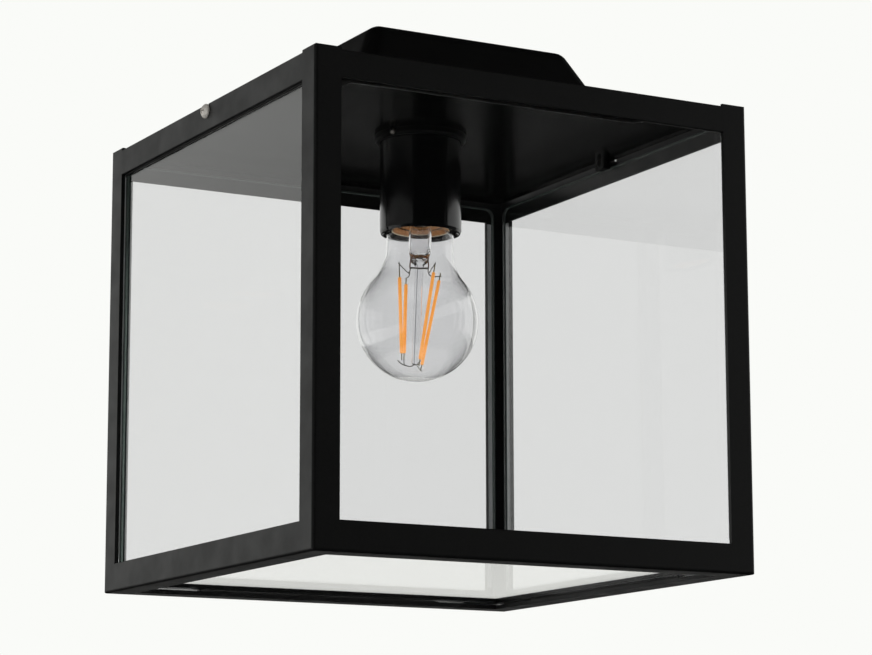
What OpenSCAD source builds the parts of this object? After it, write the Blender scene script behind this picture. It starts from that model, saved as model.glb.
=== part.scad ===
// Porch ceiling lantern: a square glazed cage that hangs under a ceiling plate
// and its pressed canopy, with one lampholder and a clear filament lamp.
// Millimetres. The origin is the centre of the canopy's flat top, which bears
// on the ceiling; +Z is up and everything hangs below z = 0.
// The front is the -Y face. The two cage screws are on the left and right faces.

/* [Cage] */
// Outside width and depth of the cage
cage_w = 230; // [180:1:320]
// Height of the cage, from its underside to the top of its top rails
cage_h = 223; // [180:1:320]
// Width of each leg of the angle-section corner posts
post_leg = 13; // [12:0.5:20]
// Wall of the posts and rails
frame_t = 2; // [1.5:0.1:3]
// How far the corner posts stand above the top rails
post_proud = 1.2; // [0.4:0.1:4]
// Height of the flat top rails
top_rail_h = 13; // [11:0.5:20]
// Height of the outer leg of the bottom rails
bottom_rail_h = 14; // [10:0.5:24]
// Width of the inward leg of the bottom rails, which carries the bottom pane
bottom_rail_leg = 13; // [12:0.5:20]
// Rounding of the cage's outer corners
corner_r = 1.5; // [0.5:0.1:1.5]
// Rounding of the long edges of the rails
edge_r = 0.7; // [0.3:0.1:1]

/* [Glass] */
// Thickness of the five panes
pane_t = 4; // [3:0.5:4]
// Thickness of the clear bedding between the posts and the side panes
bedding_t = 0.7; // [0.6:0.1:1]
// Width of each strip of bedding
bedding_w = 2.4; // [1.5:0.1:2.5]
// From the cage's outer corner to the upright edge of a side pane
pane_edge = 10; // [8:0.5:10]
// Rounding of the side panes' corners
pane_corner_r = 5; // [1:0.5:8]
// Thickness of the foam pads under the bottom pane
pad_t = 0.8; // [0.5:0.1:1.5]
// Length of each foam pad
pad_l = 136; // [60:1:150]
// Width of each foam pad
pad_w = 4; // [2:0.5:5]
// Gap kept round the edges of the panes
pane_gap = 0.5; // [0.3:0.1:0.8]

/* [Ceiling plate] */
// Thickness of the ceiling plate
plate_t = 1; // [0.8:0.1:1.5]
// From the top of the top rails down to the underside of the plate
plate_drop = 2; // [1.8:0.1:3]
// From the cage's outer face to the edge of the ceiling plate
plate_inset = 6; // [4:0.5:8]
// How far the hem along the plate's edge stands below the plate
hem_h = 0.8; // [0.4:0.1:1.2]
// Width of that hem
hem_w = 1.2; // [0.8:0.1:2]
// Rounding of the plate's corners
plate_corner_r = 6; // [2:0.5:12]
// Width of the threaded blocks that take the cage screws
block_w = 8; // [7:0.5:22]
// Depth of the threaded blocks, inwards
block_d = 4; // [3:0.5:10]

/* [Canopy] */
// From the ceiling down to the top of the top rails
canopy_rise = 35; // [30:1:50]
// Width of the canopy at the ceiling, measured to its sharp corners
canopy_w = 106; // [96:1:120]
// Outward slope of the canopy's sides, per unit of depth
canopy_draft = 0.52; // [0.3:0.01:0.6]
// Thickness of the canopy's sheet
canopy_t = 1.2; // [0.8:0.1:1.5]
// Rounding between the canopy's top and its sides
canopy_r = 8; // [5:0.5:10]
// Rounding of the canopy's upright corners
canopy_corner_r = 10; // [6:0.5:16]
// Distance between the centres of the two slots for the ceiling screws
slot_spacing = 60; // [56:1:62]
// Length of each ceiling slot, end to end
slot_l = 14; // [8:0.5:14]
// Width of the ceiling slots
slot_w = 5; // [4:0.5:6]
// Bore of the rubber grommet for the supply cable
cable_bore = 8; // [6:0.5:10]

/* [Screws] */
// Diameter of the cage and canopy screws
screw_d = 4; // [3:0.5:4]
// Diameter of the screw heads
screw_head_d = 7; // [6:0.5:8]
// Height of the screw heads
screw_head_h = 2.6; // [2:0.1:3]
// From the top of the top rails down to the axis of the cage screws
screw_drop = 3.5; // [3:0.1:4]
// Length of the cage screws under the head
cage_screw_l = 11; // [10:1:20]
// Radial clearance between a screw and its hole
screw_play = 0.05; // [0.02:0.01:0.1]

/* [Lampholder] */
// Outside diameter of the lampholder's skirt
skirt_d = 40; // [36:0.5:44]
// Wall of the skirt
skirt_t = 2.3; // [1.5:0.1:3]
// From the ceiling plate down to the rim of the skirt
holder_l = 49.5; // [48:0.5:60]
// From the ceiling plate down to the lampholder's centre contact
contact_drop = 17.6; // [16:0.1:20]
// Diameter of the flange that bears on the ceiling plate
flange_d = 45; // [44:0.5:54]
// Height of that flange
flange_h = 3.8; // [3.6:0.1:6]
// Radial gap between the lamp's thread and the threaded shell
shell_play = 0.6; // [0.3:0.05:1]
// Length of the threaded shell
shell_l = 26; // [20:1:28]
// Outside diameter of the hollow nipple
nipple_d = 10; // [8:0.5:12]
// Bore of the nipple
nipple_bore = 7.4; // [6:0.1:7.5]
// Where the lampholder's lock screw points, anticlockwise from +X
lock_screw_angle = 205; // [180:5:270]

/* [Lamp] */
// Diameter of the clear glass bulb
bulb_d = 59.4; // [50:0.2:70]
// Overall length of the lamp
bulb_l = 105; // [100:0.5:125]
// Diameter of the bulb's neck
neck_d = 33; // [30:0.2:34]
// Radius of the curve between the bulb and its neck
shoulder_r = 24; // [10:0.5:28]
// Wall of the bulb
bulb_t = 0.8; // [0.5:0.1:1.2]
// Diameter over the thread of the lamp cap
cap_d = 26.4; // [26:0.1:26.6]
// Length of the lamp cap with its contact
cap_l = 28; // [26:0.5:30]
// Pitch of the lamp cap's thread
thread_pitch = 3.629; // [3:0.001:4]
// Depth of the lamp cap's thread
thread_depth = 1; // [0.5:0.1:1.2]
// Diameter of the light filaments
filament_d = 1.8; // [1.2:0.1:2.4]

/* [Wiring] */
// Outside diameter of the insulated wires
wire_d = 2.2; // [1.6:0.1:2.4]
// Length of the terminal block
block_l = 30; // [26:1:36]
// Depth of the terminal block, along its wire ways
terminal_d = 16; // [12:1:20]
// Height of the terminal block
terminal_h = 13; // [11:0.5:16]

/* [Hidden] */
$fn = 64;

// A cut runs this far past the face it opens
cut = 1;

// Heights
rail_top_z = -canopy_rise;
cage_z = rail_top_z - cage_h;
plate_under_z = rail_top_z - plate_drop;
plate_top_z = plate_under_z + plate_t;
screw_z = rail_top_z - screw_drop;
rail_under_z = rail_top_z - top_rail_h;
floor_z = cage_z + frame_t;
post_h = cage_h + post_proud;

// Side panes: their outer faces lie behind the posts and the bedding
pane_in = frame_t + bedding_t;
floor_edge = pane_in + pane_t + pane_gap;
pane_w = cage_w - 2 * pane_edge;
pane_floor_gap = 0.4;
pane_z = floor_z + pane_floor_gap;
pane_top_z = screw_z - screw_d / 2 - 0.3;
bottom_pane_w = cage_w - 2 * floor_edge - 0.4;
bottom_pane_z = floor_z + pad_t;

// Ceiling plate
plate_half = cage_w / 2 - plate_inset;
block_half = cage_w / 2 - pane_in - pane_t - 0.3;
tip_play = 0.6;

// Canopy
canopy_h = -plate_top_z;
draft_angle = atan(canopy_draft);
foot_edge = 0.1;
lug_w = 20;
lug_t = 1.5;
lug_foot = 14;
lug_h = 17;
lug_gap = 0.3;
canopy_screw_up = 10;
canopy_screw_l = 8;
recess_d = 24;
recess_h = 2.4;
grommet_lip = 3;

// Lampholder and lamp
skirt_in_r = skirt_d / 2 - skirt_t;
shell_d = cap_d + 2 * shell_play;
rim_z = plate_under_z - holder_l;
flange_z = plate_under_z - flange_h;
contact_z = plate_under_z - contact_drop;
web_t = 3.6;
spigot_h = 3.5;
nipple_below = 3.5;
nipple_above = 12;
nut_af = 14;
nut_h = 3;
insert_gap = 0.2;
wire_way = 9;
insert_z = contact_z - cap_l + 1;
shell_t = 0.5;
web_z = contact_z + 2;
lock_screw_d = 2.5;
lock_head_d = 3.4;
lock_head_h = 1.5;
lamp_z = contact_z - bulb_l;
bulb_r = bulb_d / 2;
neck_r = neck_d / 2;
neck_foot_r = cap_d / 2 - thread_depth - 1;
globe_z = lamp_z + bulb_r;
cap_rim_z = contact_z - cap_l;
shoulder_z = globe_z + sqrt(pow(bulb_r + shoulder_r, 2) - pow(neck_r + shoulder_r, 2));
stem_z = lamp_z + 8;

// Terminal block stands on the plate behind the lampholder's nut
terminal_y = 32;
terminal_z = plate_top_z;
way_pitch = block_l / 3;
way_z = terminal_z + 5;
earth_x = -46;
earth_y = 20;

/* Small shapes */

// Flat outline of an equal or unequal angle section, corner at the origin
module angle_outline(a, b, t, r) {
    difference() {
        union() {
            square([a, t]);
            square([t, b]);
        }
        difference() {
            translate([-cut, -cut]) square(r + cut);
            translate([r, r]) circle(r);
        }
    }
}

// Bar of square stock to cut away, less the rounded edge of radius r it leaves.
// It runs along +X and rounds the edge between the faces y = 0 and z = 0.
module edge_cutter(len, r) {
    rotate([90, 0, 90]) linear_extrude(len) difference() {
        translate([-cut, -cut]) square(r + cut);
        translate([r, r]) circle(r);
    }
}

// Screw along Z: the head's underside is at z = 0, the shank hangs below it
module pan_screw(d, len, head_d, head_h) {
    dome_r = (pow(head_d / 2, 2) + pow(0.75 * head_h, 2)) / (1.5 * head_h);
    recess = head_d * 0.5;
    difference() {
        union() {
            translate([0, 0, -len]) cylinder(d = d, h = len);
            rotate_extrude() intersection() {
                square([head_d / 2, head_h]);
                translate([0, head_h - dome_r]) circle(dome_r, $fn = 160);
            }
        }
        for (a = [0, 90]) rotate([0, 0, a])
            translate([-recess / 2, -recess / 10, head_h / 2]) cube([recess, recess / 5, head_h]);
    }
}

/* Cage */

// Puts a piece made for the front-left corner or the front face at side i
module at_side(i) {
    rotate([0, 0, 90 * i]) translate([-cage_w / 2, -cage_w / 2, 0]) children();
}

// Angle-section post with its outer edges rounded, for the front-left corner
module post(i) {
    color("#1b1b1c") at_side(i) translate([0, 0, cage_z]) difference() {
        linear_extrude(post_h) angle_outline(post_leg, post_leg, frame_t, corner_r);
        translate([-cut, 0, 0]) edge_cutter(post_leg + 2 * cut, corner_r);
        mirror([1, -1, 0]) translate([-cut, 0, 0]) edge_cutter(post_leg + 2 * cut, corner_r);
        translate([-cut, 0, post_h]) mirror([0, 0, 1]) edge_cutter(post_leg + 2 * cut, edge_r);
        translate([0, 0, post_h]) mirror([0, 0, 1]) mirror([1, -1, 0])
            translate([-cut, 0, 0]) edge_cutter(post_leg + 2 * cut, edge_r);
    }
}

// Flat top rail between two posts; a slotted one lets the cage hang on its screw
module top_rail(i, slotted) {
    len = cage_w - 2 * post_leg;
    slot_r = screw_d / 2 + 0.3;
    color("#1b1b1c") at_side(i) difference() {
        translate([post_leg, 0, rail_under_z]) cube([len, frame_t, top_rail_h]);
        translate([post_leg - cut, 0, rail_under_z]) edge_cutter(len + 2 * cut, edge_r);
        translate([post_leg - cut, 0, rail_top_z]) mirror([0, 0, 1])
            edge_cutter(len + 2 * cut, edge_r);
        if (slotted) translate([cage_w / 2, -cut, screw_z]) {
            rotate([-90, 0, 0]) cylinder(r = slot_r, h = frame_t + 2 * cut);
            translate([-slot_r, 0, 0]) cube([2 * slot_r, frame_t + 2 * cut, screw_drop + cut]);
        }
    }
}

// Angle-section bottom rail. The front and back ones fill the corners too.
module bottom_rail(i, full) {
    len = cage_w - 2 * post_leg;
    color("#1b1b1c") at_side(i) translate([0, 0, cage_z]) union() {
        difference() {
            translate([post_leg, 0, 0]) rotate([90, 0, 90]) linear_extrude(len)
                angle_outline(bottom_rail_leg, bottom_rail_h, frame_t, corner_r);
            translate([post_leg - cut, 0, bottom_rail_h]) mirror([0, 0, 1])
                edge_cutter(len + 2 * cut, edge_r);
        }
        if (full) for (x = [frame_t, cage_w - post_leg]) translate([x, frame_t, 0])
            cube([post_leg - frame_t, bottom_rail_leg - frame_t, frame_t]);
    }
}

// Side pane with rounded corners
module side_pane(i) {
    color("#cfe3dd", 0.35) at_side(i) translate([cage_w / 2, pane_in + pane_t, 0])
        rotate([90, 0, 0]) linear_extrude(pane_t) offset(pane_corner_r)
            translate([-pane_w / 2 + pane_corner_r, pane_z + pane_corner_r])
                square([pane_w - 2 * pane_corner_r, pane_top_z - pane_z - 2 * pane_corner_r]);
}

module pane_bottom() {
    color("#cfe3dd", 0.35) translate([0, 0, bottom_pane_z + pane_t / 2])
        cube([bottom_pane_w, bottom_pane_w, pane_t], center = true);
}

// Two upright strips of clear silicone behind each side's posts
module pane_bedding() {
    top = rail_under_z - 1;
    foot = floor_z + bottom_rail_h;
    color("#b9bdbb", 0.6) for (i = [0:3], x = [pane_edge + 0.3, cage_w - pane_edge - 0.3 - bedding_w])
        at_side(i) translate([x, frame_t, foot]) cube([bedding_w, bedding_t, top - foot]);
}

// Foam pads on the inward legs of the bottom rails, under the bottom pane
module bottom_pads() {
    color("#101010") for (i = [0:3]) at_side(i)
        translate([(cage_w - pad_l) / 2, floor_edge + 0.6, floor_z]) cube([pad_l, pad_w, pad_t]);
}

/* Ceiling plate and canopy */

// Flat outline of the plate, inset from its edge
module plate_outline(inset) {
    r = plate_corner_r - inset;
    offset(r) square(2 * (plate_half - inset - r), center = true);
}

module ceiling_plate() {
    color("#151516") difference() {
        union() {
            translate([0, 0, plate_under_z]) linear_extrude(plate_t) plate_outline(0);
            translate([0, 0, plate_under_z - hem_h]) linear_extrude(hem_h + plate_t / 2)
                difference() {
                    plate_outline(0);
                    plate_outline(hem_w);
                }
        }
        for (s = [0, 180]) rotate([0, 0, s])
            translate([block_half - block_d, -block_w / 2, plate_under_z - top_rail_h])
                cube([block_d + cage_w, block_w, 2 * top_rail_h]);
        tip = cage_w / 2 - cage_screw_l - tip_play;
        for (s = [0, 180]) rotate([0, 0, s])
            translate([tip, -screw_d / 2 - tip_play, plate_under_z - cut])
                cube([plate_half - tip, screw_d + 2 * tip_play, plate_t + 2 * cut]);
        translate([0, 0, plate_under_z - cut])
            cylinder(d = nipple_d + 0.4, h = plate_t + 2 * cut);
        translate([earth_x, earth_y, plate_under_z - cut])
            cylinder(d = screw_d, h = plate_t + 2 * cut);
    }
}

// Blocks welded into the plate's notches and tapped for the cage screws
module threaded_blocks() {
    foot_z = screw_z - screw_d / 2 - 1.2;
    color("#151516") for (s = [0, 180]) rotate([0, 0, s]) difference() {
        translate([block_half - block_d, -block_w / 2, foot_z])
            cube([block_d, block_w, rail_top_z - foot_z]);
        translate([block_half - block_d - cut, 0, screw_z]) rotate([0, 90, 0])
            cylinder(r = screw_d / 2 + screw_play, h = block_d + 2 * cut);
    }
}

// One rounded pyramid stump: a shell is the outer one less the inner one.
// inset moves every face inwards by the sheet's thickness.
module canopy_body(inset) {
    k = cos(draft_angle);
    top_r = canopy_r - inset;
    top_c = canopy_w / 2 + canopy_draft * canopy_r - canopy_r / k;
    foot_z = plate_top_z - (inset > 0 ? cut : 0);
    base_c = canopy_w / 2 - canopy_draft * (foot_z + foot_edge) - canopy_corner_r;
    hull() for (sx = [-1, 1], sy = [-1, 1]) {
        translate([sx * top_c, sy * top_c, -canopy_r]) sphere(top_r, $fn = 32);
        translate([sx * base_c, sy * base_c, foot_z])
            cylinder(r = canopy_corner_r - inset / k, h = foot_edge, $fn = 32);
    }
}

// Half width of the canopy's outer face at a height above the ceiling plate
function canopy_half(up) = canopy_w / 2 + canopy_draft * (canopy_h - up);

// Local frame on the canopy's side: +X leaves the wall, the origin is on its face
module at_canopy_wall(s) {
    rotate([0, 0, s]) translate([canopy_half(canopy_screw_up), 0, plate_top_z + canopy_screw_up])
        rotate([0, -draft_angle, 0]) children();
}

module canopy() {
    color("#131314") difference() {
        union() {
            difference() {
                canopy_body(0);
                canopy_body(canopy_t);
            }
            translate([0, 0, -recess_h - canopy_t])
                cylinder(d = recess_d + 2 * canopy_t, h = recess_h + canopy_t / 2);
        }
        translate([0, 0, -recess_h]) cylinder(d = recess_d, h = recess_h + cut);
        translate([0, 0, -recess_h - canopy_t - cut])
            cylinder(d = cable_bore + 2 * grommet_lip / 2, h = canopy_t + 2 * cut);
        for (s = [-1, 1]) translate([s * slot_spacing / 2, 0, -canopy_t - cut]) {
            for (e = [-1, 1]) translate([e * (slot_l - slot_w) / 2, 0, 0])
                cylinder(d = slot_w, h = canopy_t + 2 * cut);
            translate([-(slot_l - slot_w) / 2, -slot_w / 2, 0])
                cube([slot_l - slot_w, slot_w, canopy_t + 2 * cut]);
        }
        for (s = [0, 180]) at_canopy_wall(s) translate([-3 * canopy_t, 0, 0])
            rotate([0, 90, 0]) cylinder(d = screw_d + 0.4, h = 6 * canopy_t);
    }
}

// Rubber grommet in the canopy's recessed cable hole
module cable_grommet() {
    bore_r = cable_bore / 2;
    lip_r = bore_r + 1.5 * grommet_lip;
    groove_r = bore_r + grommet_lip / 2;
    color("#1a1a1a") translate([0, 0, -recess_h - canopy_t]) rotate_extrude() difference() {
        union() {
            translate([bore_r, -2]) square([groove_r - bore_r, canopy_t + 4]);
            translate([bore_r, -2]) square([lip_r - bore_r, 2]);
            translate([bore_r, canopy_t]) square([lip_r - bore_r, 2]);
        }
    }
}

// Angle lugs welded on the plate; the canopy's side screws thread into them
module canopy_lugs() {
    wall = canopy_t / cos(draft_angle) + lug_gap;
    leg = lug_t / cos(draft_angle);
    x0 = canopy_half(0) - wall;
    x1 = canopy_half(lug_h) - wall;
    x2 = canopy_half(lug_t) - wall - leg;
    color("#151516") for (s = [0, 180]) difference() {
        rotate([0, 0, s]) translate([0, lug_w / 2, plate_top_z]) rotate([90, 0, 0])
            linear_extrude(lug_w) polygon([
                [x0, 0], [x1, lug_h], [x1 - leg, lug_h], [x2, lug_t],
                [x0 - lug_foot, lug_t], [x0 - lug_foot, 0]
            ]);
        at_canopy_wall(s) translate([-canopy_screw_l, 0, 0]) rotate([0, 90, 0])
            cylinder(r = screw_d / 2 + screw_play, h = canopy_screw_l);
    }
}

module canopy_screws() {
    color("#c9ccd0") for (s = [0, 180]) at_canopy_wall(s) rotate([0, 90, 0])
        pan_screw(screw_d, canopy_screw_l, screw_head_d, screw_head_h);
}

// Cage screw: its head bears on the outer face of the slotted rail
module cage_screw(s) {
    color("#c9ccd0") rotate([0, 0, s]) translate([cage_w / 2, 0, screw_z])
        rotate([0, 90, 0]) pan_screw(screw_d, cage_screw_l, screw_head_d, screw_head_h);
}

/* Lampholder */

// Moulded cap of the lampholder: a flange on the plate and a spigot in the skirt
module holder_flange() {
    spigot_r = skirt_in_r - insert_gap;
    round_r = 1.2;
    color("#0d0d0e") difference() {
        union() {
            translate([0, 0, flange_z + round_r]) cylinder(d = flange_d, h = flange_h - round_r);
            translate([0, 0, flange_z]) cylinder(d1 = flange_d - 2 * round_r, d2 = flange_d,
                h = round_r);
            translate([0, 0, flange_z - spigot_h]) cylinder(r = spigot_r, h = spigot_h);
        }
        translate([0, 0, flange_z - spigot_h - cut])
            cylinder(r = spigot_r - 2, h = spigot_h + cut + flange_h - web_t);
        translate([0, 0, flange_z]) cylinder(r = nipple_d / 2 + screw_play, h = flange_h + cut);
        rotate([0, 0, lock_screw_angle]) translate([0, 0, flange_z + flange_h / 2])
            rotate([0, 90, 0]) cylinder(r = lock_screw_d / 2 + screw_play, h = flange_d);
    }
}

// Glossy skirt of the lampholder; a rib inside it carries the insert
module holder_skirt() {
    r = skirt_d / 2;
    chamfer = 1.2;
    rib = 1.5;
    color("#0d0d0e") rotate_extrude() polygon([
        [r, flange_z], [r, rim_z + chamfer], [r - chamfer / 2, rim_z], [r - chamfer, rim_z],
        [skirt_in_r, rim_z + chamfer], [skirt_in_r, insert_z - 2 * rib],
        [skirt_in_r - rib, insert_z - rib], [skirt_in_r - rib, insert_z - insert_gap],
        [skirt_in_r, insert_z - insert_gap], [skirt_in_r, flange_z]
    ]);
}

// Ceramic insert that carries the threaded shell and the centre contact
module holder_insert() {
    r = skirt_in_r - insert_gap;
    bore = shell_d / 2 + shell_t;
    top = flange_z - spigot_h - insert_gap;
    color("#e8e6df") difference() {
        translate([0, 0, insert_z]) cylinder(r = r, h = top - insert_z);
        translate([0, 0, insert_z - cut]) cylinder(r = bore, h = web_z - insert_z + cut);
        for (s = [-1, 1]) translate([s * wire_way, 0, web_z - cut])
            cylinder(d = wire_d + 0.6, h = top - web_z + 2 * cut);
    }
}

// Brass shell that the lamp cap screws into, with a tab under the neutral wire
module holder_shell() {
    color("#b88746") translate([0, 0, web_z - shell_l]) difference() {
        cylinder(d = shell_d + 2 * shell_t, h = shell_l);
        difference() {
            translate([0, 0, -cut]) cylinder(d = shell_d, h = shell_l + 2 * cut);
            translate([wire_way - 2, -3, shell_l - shell_t]) cube([shell_d, 6, shell_t]);
        }
    }
}

// Sprung bronze tongue above the lamp's contact, riveted under the insert's web
module holder_contact() {
    low = contact_z - web_z + 0.05;
    t = 0.6;
    color("#b5793f") translate([0, 3, web_z]) rotate([90, 0, 0]) linear_extrude(6) polygon([
        [-11, 0], [-11, -t], [-5, -t], [-2.4, low], [3, low], [3, low + t],
        [-2.2, low + t], [-4.6, 0]
    ]);
}

module holder_nipple() {
    color("#c9ccd0") translate([0, 0, plate_under_z - nipple_below]) difference() {
        cylinder(d = nipple_d, h = nipple_below + nipple_above);
        translate([0, 0, -cut]) cylinder(d = nipple_bore, h = nipple_below + nipple_above + 2 * cut);
    }
}

// Hexagon lock nut on the nipple, above the plate
module nipple_nut() {
    color("#c9ccd0") translate([0, 0, plate_top_z]) difference() {
        cylinder(d = nut_af / cos(30), h = nut_h, $fn = 6);
        translate([0, 0, -cut]) cylinder(d = nipple_d + 0.1, h = nut_h + 2 * cut);
    }
}

// Radial screw that locks the flange to the nipple; its bright head shows at the top
module holder_lock_screw() {
    color("#c9ccd0") rotate([0, 0, lock_screw_angle])
        translate([flange_d / 2, 0, flange_z + flange_h / 2]) rotate([0, 90, 0])
            pan_screw(lock_screw_d, (flange_d - nipple_d) / 2 - screw_play, lock_head_d, lock_head_h);
}

/* Wiring inside the canopy */

module terminal_block() {
    bore = 3.4;
    color("#e9e9e4") difference() {
        translate([-block_l / 2, terminal_y, terminal_z])
            cube([block_l, terminal_d, terminal_h]);
        for (k = [-1:1]) translate([k * way_pitch, 0, 0]) {
            translate([0, terminal_y - cut, way_z]) rotate([-90, 0, 0])
                cylinder(d = bore + 0.6, h = terminal_d + 2 * cut);
            for (y = [0.25, 0.75]) translate([0, terminal_y + y * terminal_d, way_z])
                cylinder(d = bore, h = terminal_h);
        }
    }
}

// Brass tubes in the three ways of the terminal block
module terminal_tubes() {
    color("#c39a4e") for (k = [-1:1]) translate([k * way_pitch, terminal_y + 1, way_z])
        rotate([-90, 0, 0]) difference() {
            cylinder(d = 4, h = terminal_d - 2);
            translate([0, 0, -cut]) cylinder(d = 2.6, h = terminal_d);
            for (y = [0.25, 0.75]) translate([0, 0, y * terminal_d - 1]) rotate([90, 0, 0])
                cylinder(d = 3.1, h = 4);
        }
}

module terminal_screws() {
    color("#c9ccd0") for (k = [-1:1], y = [0.25, 0.75])
        translate([k * way_pitch, terminal_y + y * terminal_d, way_z + wire_d / 2 + 0.1]) difference() {
            cylinder(d = 3, h = 5);
            translate([-2, -0.3, 4]) cube([4, 0.6, 2]);
        }
}

// Threaded stud on the plate, with the earth wire's eye under its nut
module earth_stud() {
    color("#c39a4e") translate([earth_x, earth_y, plate_under_z])
        cylinder(d = screw_d, h = plate_t + 9);
}

module earth_nut() {
    color("#c39a4e") translate([earth_x, earth_y, plate_top_z + wire_d]) difference() {
        cylinder(d = 7 / cos(30), h = 3.2, $fn = 6);
        translate([0, 0, -cut]) cylinder(d = screw_d + 0.1, h = 3.2 + 2 * cut);
    }
}

// Smooth curve through points: one Catmull-Rom stretch between p[i] and p[i + 1]
function on_curve(p, i, t) =
    let (a = p[max(i - 1, 0)], b = p[i], c = p[i + 1], d = p[min(i + 2, len(p) - 1)])
    0.5 * (2 * b + (c - a) * t + (2 * a - 5 * b + 4 * c - d) * t * t
        + (3 * b - a - 3 * c + d) * t * t * t);
function curve(p, steps) = concat(
    [for (i = [0:len(p) - 2], s = [0:steps - 1]) on_curve(p, i, s / steps)],
    [p[len(p) - 1]]
);
function unit(v) = v / norm(v);
function along(p, i) = unit(p[min(i + 1, len(p) - 1)] - p[max(i - 1, 0)]);
// A side vector carried along the curve, so that the tube doesn't twist
function carry(p, i, u) =
    let (w = u - (u * along(p, i)) * along(p, i)) unit(w);
function sides(p, i, u) =
    i == len(p) ? [] : let (w = carry(p, i, u)) concat([w], sides(p, i + 1, w));

// Closed tube of n sides swept along the points p; start_side is any side vector
module tube(p, d, n, start_side) {
    u = sides(p, 0, start_side);
    rings = [for (i = [0:len(p) - 1], k = [0:n - 1])
        let (v = cross(along(p, i), u[i]))
        p[i] + d / 2 * (cos(360 * k / n) * u[i] + sin(360 * k / n) * v)];
    walls = [for (i = [0:len(p) - 2], k = [0:n - 1])
        let (a = i * n + k, b = i * n + (k + 1) % n) each [[a, b, a + n], [b, b + n, a + n]]];
    caps = [[for (k = [n - 1:-1:0]) k], [for (k = [0:n - 1]) (len(p) - 1) * n + k]];
    polyhedron(rings, [for (f = concat(walls, caps)) [for (k = [len(f) - 1:-1:0]) f[k]]]);
}

// The lamp wires leave the insert, pass up the nipple and bend over to the block
function lamp_wire(s) = [
    [s * wire_way, 0, web_z + 0.1], [s * wire_way, 0, flange_z - 3.4],
    [s * 6.5, 0, flange_z - 1.8], [s * 2.4, 0, flange_z - 0.8],
    [s * 1.6, 0, plate_under_z], [s * 1.6, 0, plate_top_z + 8], [s * 2, 3, plate_top_z + 16],
    [s * 5, 14, plate_top_z + 18], [s * 9, terminal_y - 8, way_z + 7],
    [s * way_pitch, terminal_y - 4, way_z + 1.2], [s * way_pitch, terminal_y - 1, way_z],
    [s * way_pitch, terminal_y + 1, way_z], [s * way_pitch, terminal_y + 5, way_z]
];
earth_route = [
    [0, terminal_y + 5, way_z], [0, terminal_y + 1, way_z], [0, terminal_y - 1, way_z],
    [0, terminal_y - 4, way_z + 0.5], [-8, 20, way_z + 3], [-22, 18, way_z + 1],
    [earth_x + 12, earth_y, plate_top_z + 3], [earth_x + 7, earth_y, plate_top_z + wire_d / 2]
];

module live_wire() {
    color("#6b3f1d") tube(curve(lamp_wire(-1), 3), wire_d, 8, [0, 1, 0]);
}

module neutral_wire() {
    color("#2f5fa8") tube(curve(lamp_wire(1), 3), wire_d, 8, [0, 1, 0]);
}

// Green and yellow wire, ending in an eye round the earth stud
module earth_wire() {
    color("#5d9a3c") union() {
        tube(curve(earth_route, 4), wire_d, 8, [1, 0, 0]);
        translate([earth_x, earth_y, plate_top_z]) difference() {
            union() {
                cylinder(d = 2 * screw_d, h = wire_d);
                translate([0, -wire_d / 2, 0]) cube([7.5, wire_d, wire_d]);
            }
            translate([0, 0, -cut]) cylinder(d = screw_d + 0.2, h = wire_d + 2 * cut);
        }
    }
}

/* Lamp */

// Half outline of the glass, thinner by inset: globe, shoulder, neck and foot
module glass_outline(inset) {
    r = bulb_r - inset;
    n = neck_r - inset;
    s = shoulder_r + inset;
    f = neck_foot_r - inset;
    k = r / (r + s);
    touch = [(n + s) * k, globe_z + (shoulder_z - globe_z) * k];
    mouth_z = cap_rim_z - 4.5;
    top_z = cap_rim_z + 6 + (inset > 0 ? cut : 0);
    difference() {
        intersection() {
            union() {
                translate([0, globe_z]) circle(r, $fn = 160);
                polygon([[0, globe_z], touch, [n + s, shoulder_z], [n, shoulder_z],
                         [n, mouth_z], [f, cap_rim_z], [f, top_z], [0, top_z]]);
            }
            translate([0, lamp_z]) square([bulb_d, bulb_l + cut]);
        }
        translate([n + s, shoulder_z]) circle(s, $fn = 160);
    }
}

module bulb_glass() {
    color("#dfe6e8", 0.3) rotate_extrude($fn = 96) difference() {
        glass_outline(0);
        glass_outline(bulb_t);
    }
}

// Pressed cap with its rolled thread, drawn as rings one pitch apart
module bulb_cap() {
    r = cap_d / 2;
    root = r - thread_depth;
    shell_h = cap_l - 5;
    turns = floor((shell_h - 6) / thread_pitch);
    color("#cfcac0") translate([0, 0, cap_rim_z]) difference() {
        union() {
            cylinder(r = root, h = shell_h);
            cylinder(r = r - 0.2, h = 3);
            for (k = [0:turns - 1]) translate([0, 0, 4.8 + k * thread_pitch])
                rotate_extrude() translate([root - 0.1, 0])
                    scale(1) intersection() {
                        translate([0, -thread_pitch / 2]) square([thread_depth + 0.1, thread_pitch]);
                        translate([thread_depth + 0.1 - thread_pitch / 2, 0]) circle(thread_pitch / 2);
                    }
        }
        translate([0, 0, -cut]) cylinder(r = neck_foot_r + 0.15, h = shell_h + 2 * cut);
    }
}

// Black glass that insulates the contact from the cap
module bulb_insulator() {
    z = contact_z - 5;
    root = cap_d / 2 - thread_depth;
    color("#17171a") translate([0, 0, z]) difference() {
        cylinder(r1 = root, r2 = 6.2, h = 3.8);
        translate([0, 0, -cut]) cylinder(r = 1.2, h = 3.8 + 2 * cut);
    }
}

module bulb_contact() {
    color("#c2c4c6") translate([0, 0, contact_z - 1.2]) rotate_extrude() intersection() {
        square([4.8, 1.2]);
        translate([0, 1.2 - 12]) circle(12, $fn = 160);
    }
}

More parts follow.
